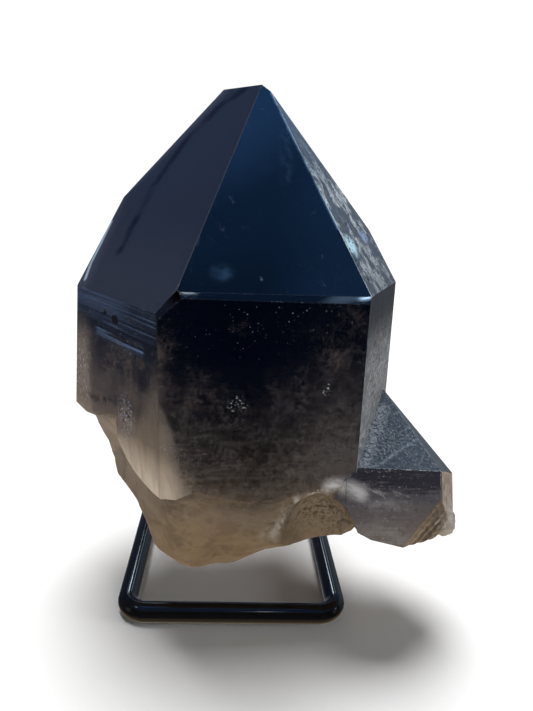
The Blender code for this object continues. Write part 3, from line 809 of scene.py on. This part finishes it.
    # The side crystal: slate pebbling on its point, streaked lilac smoke below
    split = graph.ramp(graph.math("MULTIPLY_ADD", x, -0.31, z), 67.3 * MM, 68.9 * MM)
    blotch = graph.ramp(cloud, 0.34, 0.66, 0.6, 1.0)
    look.cover(pebbled, (0.058, 0.071, 0.088), 0.35, 0.28)
    look.cover(graph.times(pebbled, graph.ramp(pebble, 0.46, 0.66), graph.mix_value(split, 0.5, 0.9), blotch),
               (0.38, 0.44, 0.48), 0.2)
    look.cover(graph.times(pebbled, graph.ramp(pebble, 0.44, 0.34), 0.3), (0.022, 0.029, 0.040))
    look.cover(graph.times(pebbled, graph.along(point, (67, -30, 101), (46, -66, 82), 6.0, 0.0),
                           graph.ramp(pebble, 0.38, 0.58)), (0.40, 0.44, 0.48), 0.2)
    look.cover(graph.times(pebbled, graph.along(point, (52, -63, 84.5), (78, -48, 92.5), 1.1, 0.2),
                           graph.ramp(grain, 0.4, 0.6), 0.7), (0.30, 0.37, 0.44), 0.2)
    streaked = graph.math("MULTIPLY_ADD", graph.math("SUBTRACT", streaks, 0.5), 14 * MM,
                          graph.math("MULTIPLY_ADD", graph.math("SUBTRACT", cloud, 0.5), 16 * MM, z))
    lilac = graph.colours(graph.ramp(streaked, 56 * MM, 82 * MM, smooth=False), (
        (0.1, (0.180, 0.150, 0.132)), (0.45, (0.140, 0.120, 0.118)), (0.68, (0.108, 0.103, 0.114)),
        (0.88, (0.032, 0.031, 0.041)),
    ))
    look.cover(graph.times(dull, 0.92), lilac, 0.35, 0.22)
    look.cover(graph.times(dull, graph.ramp(pebble, 0.57, 0.68), graph.ramp(streaks, 0.42, 0.60, 0.15, 1.0), 0.7),
               (0.38, 0.36, 0.37), 0.3)
    look.cover(graph.times(dull, graph.ramp(streaks, 0.52, 0.64), graph.ramp(cloud, 0.40, 0.60), 0.35),
               (0.26, 0.245, 0.25), 0.3)
    look.cover(graph.times(dull, graph.ramp(fleck, 0.46, 0.34), 0.4), (0.040, 0.034, 0.038))
    look.cover(graph.times(dull, graph.ramp(x, 84 * MM, 86 * MM)),
               graph.mix(graph.ramp(fleck, 0.4, 0.6), colour(0.30, 0.22, 0.15), colour(0.60, 0.50, 0.39)), 0.2, 0.3)
    combed = graph.noise(graph.aligned(point, (25, 9, 16), 0.07), 300.0, 3.0, 0.6)
    fan = graph.times(graph.near(point, (80, -64, 60), (26, 18, 20)), deep)
    look.cover(graph.times(fan, graph.ramp(combed, 0.50, 0.60), 0.85), (0.46, 0.40, 0.32), 0.3)
    look.cover(graph.times(fan, graph.ramp(combed, 0.48, 0.38), 0.85), (0.055, 0.040, 0.028), 0.3)

    # Milky veils where the two crystals meet, on the frosty lump and along the rim of the scoop
    veils = (
        ((60, -68, 71), (17, 12, 4), (0.22, 0.205, 0.205), 0.0),
        ((56, -76, 58), (20, 14, 12), (0.25, 0.225, 0.205), 0.2),
        ((95, -52, 55), (11, 14, 14), (0.62, 0.59, 0.54), 0.5),
    )
    look.cover(graph.times(graph.near(point, (38, -62, 90), (14, 6, 16)), plain, 0.35), (0.105, 0.100, 0.097))
    streaked_light = graph.math("MULTIPLY_ADD", streaks, 0.4, graph.math("MULTIPLY", fleck, 0.6))
    for centre, radii, shade, least in veils:
        veil = graph.times(graph.near(point, centre, radii), graph.ramp(streaked_light, 0.40, 0.60, least, 1.0))
        look.cover(graph.times(veil, 0.9), shade, 0.25)
    wispy = graph.noise(graph.aligned(point, (1.0, -0.45, -0.4), 0.14), 420.0, 4.0, 0.72)
    seam = graph.path(point, ((36, -62, 78), (43, -63, 77.5), (48, -66, 76)), 5.6, 0.0)
    look.cover(graph.times(seam, graph.ramp(wispy, 0.32, 0.62, 0.5, 1.0), 0.95), (0.64, 0.62, 0.615), 0.25)
    tail = graph.along(point, (48, -66, 76), (67, -68, 74.5), 3.4, 0.0)
    look.cover(graph.times(tail, graph.ramp(wispy, 0.46, 0.62), 0.8), (0.44, 0.42, 0.415), 0.25)
    rim = ((12, -58, 50), (16, -60, 56), (22, -62, 69), (30, -62, 75), (42, -62, 76.5))
    look.cover(graph.times(graph.path(point, rim[:3], 7.0, 0.0), graph.ramp(fibres, 0.40, 0.64), 0.95),
               (0.50, 0.45, 0.39), 0.3)
    look.cover(graph.times(graph.path(point, rim[2:], 4.0, 0.0), graph.ramp(fibres, 0.42, 0.66), 0.55),
               (0.40, 0.345, 0.285), 0.3)
    look.cover(graph.times(graph.path(point, rim, 1.6, 0.2), graph.ramp(grain, 0.46, 0.62)), (0.50, 0.44, 0.36), 0.3)
    look.cover(graph.times(graph.near(point, (-31, -62, 64), (6, 8, 5)), graph.ramp(shell, 0.6, 1.4), 0.6),
               (0.34, 0.27, 0.19), 0.3)
    chips = graph.math("MAXIMUM", graph.near(point, (28.2, -13.8, 206.5), (5, 5, 6)),
                       graph.near(point, (42.3, -44.8, 172.8), (5, 5, 6)))
    look.cover(graph.times(graph.ramp(chips, 0.0, 0.2), graph.mask("broken")), (0.20, 0.29, 0.40), 0.3, 0.25)

    # Marks: dust, scratches, the white cluster, smudges, the pale rim and the dark streak of the left point face, with
    # a painted sheen on the front point face and painted reflection and a painted highlight on the left point face
    dust = graph.math("MAXIMUM", specks(graph, point, 900.0, 0.24, 0.42), specks(graph, point, 330.0, 0.06, 0.03))
    look.cover(graph.times(dust, solid, graph.ramp(wide, 0.38, 0.62, 0.15, 0.8),
                           graph.math("MULTIPLY_ADD", polished, -0.65, 1.0)), (0.33, 0.35, 0.39), 0.2)
    cluster = graph.math("MAXIMUM", graph.near(point, (-5.5, -61, 114.5), (6, 4, 4.4)),
                         graph.near(point, (30.7, -61, 121), (2.2, 4, 4.2)))
    white = graph.ramp(graph.noise(point, 1100.0, 3.0, 0.7), 0.60, 0.65)
    look.cover(graph.times(graph.ramp(cluster, 0.0, 0.5), white), (0.80, 0.86, 0.88), 0.1)
    lines = graph.math("MAXIMUM", scratches(graph, point, (0.5, 0.3, 0.4), 260.0, 0.56),
                       scratches(graph, point, (1.9, 0.8, 1.2), 220.0, 0.58))
    look.cover(graph.times(lines, graph.plus(polished, hazed), 0.5), (0.10, 0.13, 0.17), 0.4)
    smudge = graph.times(graph.near(point, (-12.9, -53.2, 165.9), (7, 7, 5)), graph.ramp(cloud, 0.30, 0.66))
    look.cover(graph.times(smudge, polished, 0.8), (0.05, 0.14, 0.26), 0.3)
    look.cover(graph.times(polished, graph.near(point, (-35.8, -60.3, 152), (9, 6, 10))), (0.010, 0.014, 0.028), 0.4)
    star = graph.times(graph.near(point, (2.0, -54.5, 164.2), (2.0, 2.0, 1.4)), graph.ramp(grain, 0.4, 0.6))
    look.cover(graph.times(star, polished, 0.8), (0.14, 0.19, 0.24), 0.4)
    bloom = graph.times(graph.ramp(cloud, 0.46, 0.70), polished, graph.ramp(z, 200 * MM, 165 * MM))
    look.cover(graph.times(bloom, 0.10), (0.05, 0.06, 0.07))

    # Painted sheen: a faint bluish streak down the front point face
    look.cover(graph.times(polished, graph.along(point, (17.5, -3, 230), (16, -24, 203), 5.0, 0.0),
                           graph.ramp(fibres, 0.4, 0.6), 0.5), (0.05, 0.11, 0.20), 0.5)
    look.cover(graph.times(polished, graph.near(point, (33, -50, 165), (12, 12, 10)), graph.ramp(cloud, 0.45, 0.6), 0.12),
               (0.06, 0.055, 0.07), 0.5)

    # The left point face's blue-grey tone is partly painted sky reflection, and its lighter lower part is painted
    # reflection
    look.cover(hazed, (0.029, 0.037, 0.058), 0.6, 0.05)
    look.cover(graph.times(hazed, graph.ramp(z, 190 * MM, 155 * MM)), (0.052, 0.060, 0.086))
    pale = graph.math("MAXIMUM", graph.along(point, (-61.5, 28, 181), (-57, 36, 190), 10, 0.0), graph.math(
        "MAXIMUM", graph.along(point, (-62, 27, 180), (-74, 2, 150), 12, 0.0),
        graph.along(point, (-57, 36, 190), (-8, 33, 241), 8, 0.0)))
    look.cover(graph.times(pale, hazed, 0.7), (0.105, 0.108, 0.150), 0.5)
    # Painted highlight: a thin silver-blue line along the rounded lower left edge of the left point face
    painted_rim_highlight = ((-60.5, 24.5, 178), (-65.2, 16, 167.6), (-69, 9.5, 159), (-70.8, 3, 153))
    look.cover(graph.times(graph.path(point, painted_rim_highlight, 1.7, 0.35), hazed, 0.9), (0.42, 0.53, 0.66), 0.3)
    trail = ((0.9, 17.6, 242.1), (-9.8, 24.4, 234.6), (-26.9, 25.1, 216.3), (-41.1, 17.1, 195.5), (-54.5, -2.6, 168.3))
    tint = graph.colours(graph.noise(point, 55.0, 2.0, 0.5), (
        (0.36, (0.030, 0.006, 0.016)), (0.46, (0.004, 0.006, 0.020)), (0.55, (0.006, 0.014, 0.010)),
        (0.64, (0.002, 0.006, 0.030))))
    look.cover(graph.times(graph.path(point, trail, 4.6, 0.0), hazed, graph.ramp(cloud, 0.44, 0.55, 0.2, 1.0)),
               tint, 0.95)

    # Worn edges: faint, with a painted highlight down the right of the front point face, and beaded on the side
    # crystal
    beads = graph.ramp(grain, 0.42, 0.60)
    plain_edge = graph.times(worn, graph.math("SUBTRACT", 1.0, spur_edge))
    look.cover(graph.times(plain_edge, 0.7), (0.050, 0.060, 0.080), 0.5, 0.25)
    look.cover(graph.times(plain_edge, graph.ramp(fleck, 0.54, 0.62),
                           graph.ramp(z, 162 * MM, 154 * MM, 0.15, 0.6)), (0.32, 0.35, 0.40), 0.3)
    look.cover(graph.times(worn, graph.along(point, (8.5, 8.8, 245), (-30.2, -57.7, 160), 3.0, 0.9), 0.85),
               (0.135, 0.130, 0.125), 0.3)
    # Painted highlight: a bright blue-white line on the worn strip and the polished face down the right edge of the
    # front point face
    look.cover(graph.times(worn, graph.along(point, (11.1, 7.3, 243), (46, -57, 161), 3.0, 0.9),
                           graph.ramp(cloud, 0.40, 0.55, 0.45, 1.0)), (0.62, 0.76, 0.90), 0.2)
    painted_edge_highlight = graph.along(point, (12.3, 4.9, 240), (36.2, -39, 184), 1.3, 0.3)
    look.cover(graph.times(painted_edge_highlight, polished, graph.ramp(cloud, 0.36, 0.52, 0.3, 0.8)), (0.12, 0.24, 0.38), 0.3)
    look.cover(graph.times(worn, graph.near(point, (72, -40, 88), (42, 60, 22)), beads), (0.85, 0.92, 0.98), 0.1)

    graph.put(shader.inputs["Base Color"], look.body)
    graph.put(shader.inputs["Transmission Weight"], look.clear)
    graph.put(shader.inputs["Roughness"],
              graph.math("MULTIPLY_ADD", graph.math("SUBTRACT", grain, 0.5), 0.05, look.rough))

    shader.inputs["IOR"].default_value = 1.544
    dark = graph.add("ShaderNodeVolumeAbsorption")
    dark.inputs["Color"].default_value = colour(0.40, 0.34, 0.29)
    dark.inputs["Density"].default_value = 70.0
    output = graph.nodes["Material Output"]
    graph.put(output.inputs["Volume"], dark.outputs[0])

    relief = graph.times(graph.plus(graph.times(steps, 0.3), bands), graph.math("MULTIPLY_ADD", plain, 0.05, grown))
    relief = graph.plus(relief, graph.times(fleck, graph.plus(etched, deep, dull, graph.times(flaky, lower))),
                        graph.times(pebble, pebbled, 1.2), graph.times(fibres, spur_all, 0.5))
    bump = graph.add("ShaderNodeBump", Height=relief, Strength=0.6, Distance=0.0006)
    graph.put(shader.inputs["Normal"], bump.outputs[0])
    return material


def paint_material():
    material, graph, shader = new_material("gloss_black_steel")
    point = graph.add("ShaderNodeTexCoord").outputs["Object"]
    mottle = graph.noise(point, 90.0, 4.0, 0.6)
    body = graph.mix(mottle, colour(0.004, 0.0035, 0.0035), colour(0.008, 0.007, 0.007))
    shader.inputs["Specular IOR Level"].default_value = 0.35
    graph.put(shader.inputs["Base Color"], body)
    graph.put(shader.inputs["Roughness"], graph.ramp(mottle, 0.3, 0.7, 0.06, 0.12))
    peel = graph.noise(point, 420.0, 2.0, 0.5)
    bump = graph.add("ShaderNodeBump", Height=peel, Strength=0.04, Distance=0.0004)
    graph.put(shader.inputs["Normal"], bump.outputs[0])
    return material


def floor_material():
    material, graph, shader = new_material("pale_floor")
    shader.inputs["Base Color"].default_value = colour(0.92, 0.92, 0.92)
    shader.inputs["Roughness"].default_value = 0.9
    shader.inputs["Specular IOR Level"].default_value = 0.1
    return material


def make_floor():
    shape = bmesh.new()
    bmesh.ops.create_grid(shape, x_segments=1, y_segments=1, size=12.0)
    mesh = bpy.data.meshes.new("floor")
    shape.to_mesh(mesh)
    shape.free()
    floor = bpy.data.objects.new("floor", mesh)
    bpy.context.scene.collection.objects.link(floor)
    floor.data.materials.append(floor_material())
    floor.visible_glossy = False
    floor.visible_transmission = False


# Bright panels that show only as highlights: their direction, half width and half height, colour
PANELS = (
    ((0.112, -0.706, 0.699), 0.019, 0.0045, (13.0, 16.0, 19.0)),
    ((0.125, -0.700, 0.703), 0.045, 0.010, (0.2, 0.45, 0.9)),
    ((0.384, -0.641, 0.665), 0.020, 0.0075, (30.0, 44.0, 62.0)),
    ((0.360, -0.650, 0.668), 0.060, 0.014, (0.9, 1.5, 2.4)),
    ((0.086, -0.655, 0.751), 0.024, 0.035, (22.0, 22.0, 24.0)),
    ((0.030, 0.520, 0.853), 0.170, 0.070, (3.0, 3.6, 4.6)),
    ((-0.040, 0.798, 0.602), 0.090, 0.040, (14.0, 17.0, 19.0)),
    ((0.260, 0.810, 0.520), 0.035, 0.070, (4.0, 5.0, 6.0)),
    ((-0.230, 0.780, 0.582), 0.030, 0.060, (3.0, 4.0, 5.0)),
    ((-0.460, -0.170, 0.870), 0.120, 0.060, (9.0, 8.4, 7.4)),
    ((0.900, -0.080, 0.420), 0.110, 0.110, (2.6, 3.6, 5.4)),
    ((0.630, 0.340, 0.698), 0.220, 0.130, (0.8, 1.35, 1.9)),
    ((-0.930, -0.350, 0.150), 0.300, 0.450, (0.35, 0.38, 0.42)),
    ((0.950, -0.300, 0.200), 0.250, 0.450, (0.30, 0.32, 0.35)),
)


def panel(graph, toward, centre, half_width, half_height):
    """1 in the middle of a soft oval in the sky, 0 outside it."""
    centre = Vector(centre).normalized()
    side = Vector((0, 0, 1)).cross(centre).normalized()
    parts = []
    for axis in (side / half_width, centre.cross(side) / half_height, centre):
        dot = graph.add("ShaderNodeVectorMath", {"operation": "DOT_PRODUCT"})
        graph.put(dot.inputs[0], toward)
        dot.inputs[1].default_value = axis
        parts.append(dot.outputs["Value"])
    across = graph.math("SQRT", graph.math("MULTIPLY_ADD", parts[0], parts[0], graph.math("POWER", parts[1], 2.0)))
    return graph.times(graph.ramp(across, 1.0, 0.25), graph.math("GREATER_THAN", parts[2], 0.0))


def make_studio():
    """White all round for the eye and soft light on matt things, and a dim blue and tan room for gloss."""
    world = bpy.data.worlds.new("studio")
    bpy.context.scene.world = world
    world.use_nodes = True
    graph = Graph(world.node_tree)
    ray = graph.add("ShaderNodeLightPath").outputs
    toward = graph.add("ShaderNodeTexCoord").outputs["Generated"]
    x, y, z = graph.add("ShaderNodeSeparateXYZ", Vector=toward).outputs
    room = graph.mix(graph.ramp(y, -0.35, 0.75), colour(0.0015, 0.0015, 0.003), colour(0.17, 0.19, 0.25))
    dim_front = graph.times(graph.ramp(z, 0.02, -0.12), graph.ramp(z, -0.40, -0.25), graph.ramp(y, -0.5, -0.85))
    room = graph.mix(dim_front, room, colour(0.012, 0.030, 0.095))
    behind_left = graph.times(graph.ramp(x, -0.2, -0.7), graph.ramp(y, -0.1, 0.4))
    room = graph.mix(behind_left, room, colour(0.035, 0.05, 0.09))
    behind_right = graph.times(graph.ramp(x, 0.0, 0.35), graph.ramp(y, 0.0, 0.6))
    room = graph.mix(behind_right, room, graph.colours(graph.ramp(z, -0.4, 0.6, smooth=False), (
        (0.05, (0.10, 0.10, 0.11)), (0.25, (0.13, 0.14, 0.16)), (0.50, (0.25, 0.30, 0.36)),
        (0.62, (0.29, 0.37, 0.50)), (0.72, (0.22, 0.33, 0.52)), (1.0, (0.12, 0.17, 0.26)))))
    over_front = graph.times(graph.ramp(z, 0.60, 0.675), graph.ramp(y, 0.2, -0.3))
    over_back = graph.times(graph.ramp(z, 0.20, 0.55), graph.ramp(y, 0.2, 0.5), graph.ramp(x, 0.2, -0.3))
    room = graph.mix(over_front, room, colour(0.05, 0.16, 0.42))
    room = graph.mix(over_back, room, colour(0.055, 0.090, 0.215))
    bright = graph.plus(0.42, graph.ramp(x, 0.18, 0.30, 0.0, 0.35), graph.ramp(z, 0.91, 0.95, 0.0, 0.18),
                        graph.ramp(z, 0.955, 0.985, 0.0, 0.8))
    overhead = graph.mix(graph.math("MULTIPLY", bright, 0.5), colour(0.0, 0.0, 0.0), colour(0.24, 0.77, 2.0))
    room = graph.mix(graph.times(graph.ramp(z, 0.80, 0.88), graph.ramp(y, 0.20, 0.05)), room, overhead)
    room = graph.mix(graph.ramp(z, -0.45, -0.75), room, colour(0.42, 0.31, 0.20))
    for centre, half_width, half_height, light in PANELS:
        shape = panel(graph, toward, centre, half_width, half_height)
        room = graph.mix(shape, room, colour(*light))
    mirrored = graph.math("MAXIMUM", ray["Is Glossy Ray"], ray["Is Transmission Ray"])
    seen = graph.mix(mirrored, colour(0.06, 0.06, 0.06), room)
    seen = graph.mix(ray["Is Camera Ray"], seen, colour(1.0, 1.0, 1.0))
    graph.put(graph.nodes["Background"].inputs["Color"], seen)

    for name, azimuth, slope, angle, energy in (
            ("soft_top", 188, 73, 35, 3.65),
            ("soft_back", 190, 12, 40, 0.35),
            ("soft_front", -20, 3, 20, 1.8),
            ("soft_right", 78, 13, 20, 0.95)):
        light = bpy.data.lights.new(name, "SUN")
        light.energy = energy
        light.angle = math.radians(angle)
        lamp = bpy.data.objects.new(name, light)
        bpy.context.scene.collection.objects.link(lamp)
        lamp.rotation_euler = direction(azimuth, slope).to_track_quat("Z", "Y").to_euler()
        lamp.visible_glossy = False
        lamp.visible_transmission = False


# The camera stands where the photograph was taken, worked out in the crystal's own frame
CAMERA_PLACE = (-35.2, -293.8, 199.75)
CAMERA_ROWS = (
    (0.98632, -0.15601, 0.05314),
    (0.0092, -0.26981, -0.96287),
    (0.16456, 0.95019, -0.26468),
)
PICTURE_HEIGHT = 711
FOCAL_PIXELS = 620
SENSOR = 36.0


def make_camera(place):
    right, down, ahead = (Vector(row) for row in CAMERA_ROWS)
    turn = Matrix((right, -down, -ahead)).transposed().to_4x4()
    data = bpy.data.cameras.new("camera")
    data.sensor_width = SENSOR
    data.lens = SENSOR * FOCAL_PIXELS / PICTURE_HEIGHT
    data.clip_start = 0.01
    data.clip_end = 100
    camera = bpy.data.objects.new("camera", data)
    bpy.context.scene.collection.objects.link(camera)
    camera.matrix_world = place @ Matrix.Translation(Vector(CAMERA_PLACE) * MM) @ turn
    bpy.context.scene.camera = camera


def main():
    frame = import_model()
    place = crystal_place()
    scene = bpy.context.scene
    scene.view_settings.view_transform = "Standard"
    scene.cycles.max_bounces = 7
    scene.cycles.transmission_bounces = 5
    scene.cycles.sample_clamp_indirect = 4.0
    make_camera(place)
    make_studio()
    make_floor()

    crystal = make_crystal(frame["nodes"]["smoky_quartz_crystal"], place)
    crystal.data.materials.clear()
    crystal.data.materials.append(quartz_material(place))
    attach(crystal, "root")
    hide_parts("smoky_quartz_crystal")

    rod = make_rod(Vector((place.translation.x, place.translation.y, 0)))
    rod.data.materials.append(paint_material())
    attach(rod, "root")
    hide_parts("display_stand")


main()
